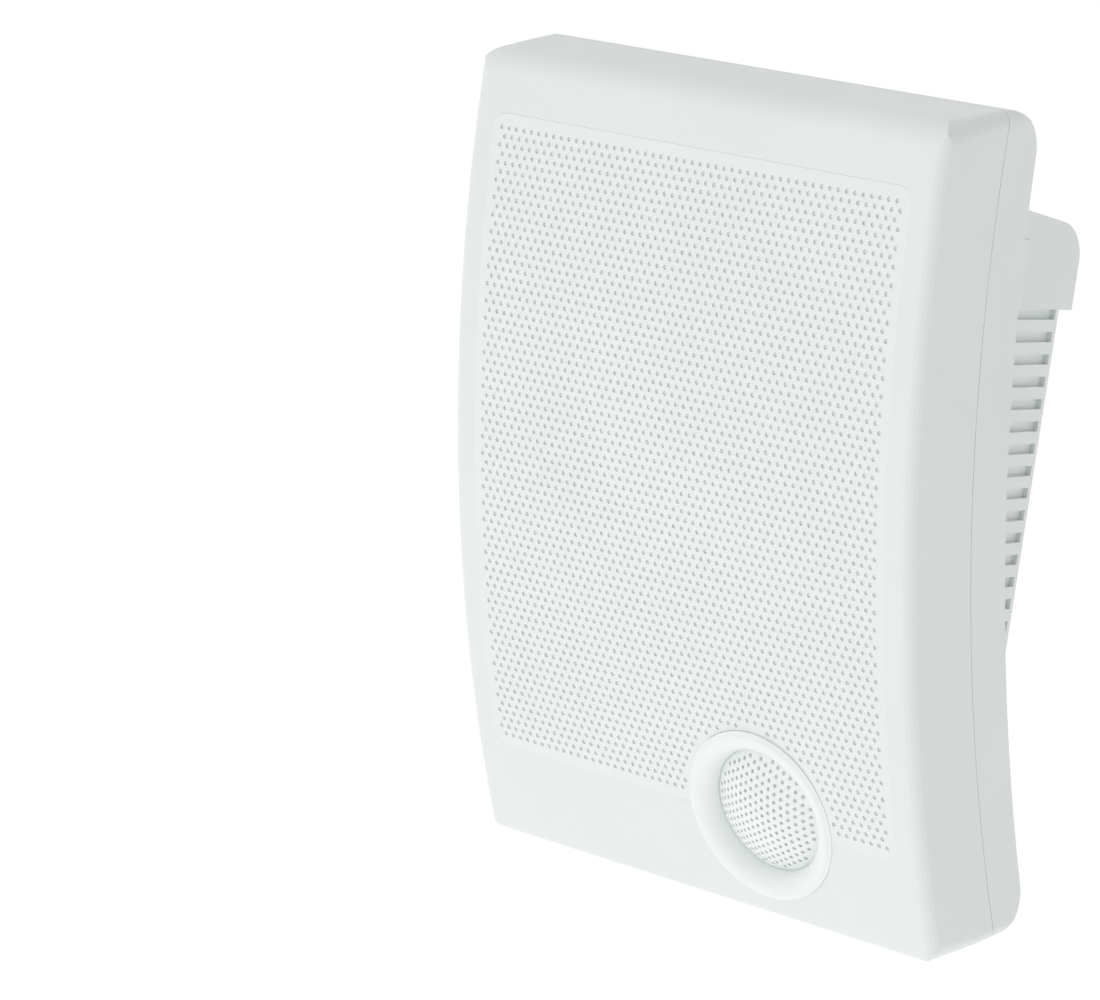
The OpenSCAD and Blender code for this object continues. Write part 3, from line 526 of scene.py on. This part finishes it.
# The camera stands where the photograph was taken from.
cameraLook = {
    "place": (0.8939, -1.1654, 0.1418),
    "right": (0.7312, 0.6676, 0.1405),
    "view": (-0.6561, 0.7445, -0.1233),
    "focalPixels": 4764, "imageWidth": 1100, "sensor": 36,
}


def makeCamera(look):
    data = bpy.data.cameras.new("photoCamera")
    data.sensor_width = look["sensor"]
    data.lens = look["focalPixels"] * look["sensor"] / look["imageWidth"]
    data.clip_start = 0.05
    data.clip_end = 1000
    camera = bpy.data.objects.new("photoCamera", data)
    bpy.context.scene.collection.objects.link(camera)
    back = -Vector(look["view"]).normalized()
    right = Vector(look["right"])
    right = (right - back * right.dot(back)).normalized()
    up = back.cross(right)
    turn = Matrix((right, up, back)).transposed().to_4x4()
    camera.matrix_world = Matrix.Translation(look["place"]) @ turn
    bpy.context.scene.camera = camera


makeCamera(cameraLook)

# White paper sweep that glows a little, a pale sky that dims towards the right, three weak soft lamps.
studio = {
    "floorHeight": -0.42, "floorSize": 400.0, "floorColour": (0.93, 0.93, 0.93), "floorGlow": 0.34,
    "sky": (1.0, 1.0, 1.0), "skyFrom": (-0.3, 0.84), "skyTo": (1.0, 0.46),       # place along X, strength
    "lamps": {
        "frontLeft": {"place": (-1.3, -1.9, 0.9), "size": 1.5, "power": 3, "colour": (1.0, 0.995, 0.985)},
        "lowFront": {"place": (0.1, -1.6, -0.30), "size": 1.1, "power": 2, "colour": (1.0, 1.0, 1.0)},
        "topSoft": {"place": (0.1, -0.2, 1.7), "size": 1.6, "power": 1, "colour": (1.0, 1.0, 1.0)},
    },
}


def makeFloor(look):
    mesh = bpy.data.meshes.new("studioFloor")
    half = look["floorSize"] / 2
    corners = [(-half, -half), (half, -half), (half, half), (-half, half)]
    mesh.from_pydata([(x, y, look["floorHeight"]) for x, y in corners], [], [(0, 1, 2, 3)])
    floor = bpy.data.objects.new("studioFloor", mesh)
    bpy.context.scene.collection.objects.link(floor)
    material, tree, shader = newMaterial("floorPaper")
    clouds = cloud(tree, objectPoint(tree), 0.4, 2.0)
    paper = blendColours(tree, clouds, look["floorColour"], [c * 0.99 for c in look["floorColour"]])
    tree.links.new(paper, shader.inputs["Base Color"])
    shader.inputs["Roughness"].default_value = 0.9
    shader.inputs["Emission Color"].default_value = (1, 1, 1, 1)
    shader.inputs["Emission Strength"].default_value = look["floorGlow"]
    mesh.materials.append(material)


def makeSky(look):
    sky = bpy.data.worlds.new("studioSky")
    sky.use_nodes = True
    tree = sky.node_tree
    background = tree.nodes["Background"]
    background.inputs["Color"].default_value = (*look["sky"], 1)
    direction = tree.nodes.new("ShaderNodeTexCoord")
    split = tree.nodes.new("ShaderNodeSeparateXYZ")
    tree.links.new(direction.outputs["Generated"], split.inputs["Vector"])
    (left, leftStrength), (right, rightStrength) = look["skyFrom"], look["skyTo"]
    strength = remap(tree, split.outputs["X"], left, right, leftStrength, rightStrength)
    tree.links.new(strength, background.inputs["Strength"])
    bpy.context.scene.world = sky


def makeLamps(look):
    for name, lamp in look["lamps"].items():
        light = bpy.data.lights.new(name, "AREA")
        light.shape = "SQUARE"
        light.size = lamp["size"]
        light.energy = lamp["power"]
        light.color = lamp["colour"]
        thing = bpy.data.objects.new(name, light)
        bpy.context.scene.collection.objects.link(thing)
        thing.location = lamp["place"]
        thing.rotation_euler = (-Vector(lamp["place"])).to_track_quat("-Z", "Y").to_euler()


makeFloor(studio)
makeSky(studio)
makeLamps(studio)
bpy.context.scene.view_settings.view_transform = "Standard"
print("camera and studio made")
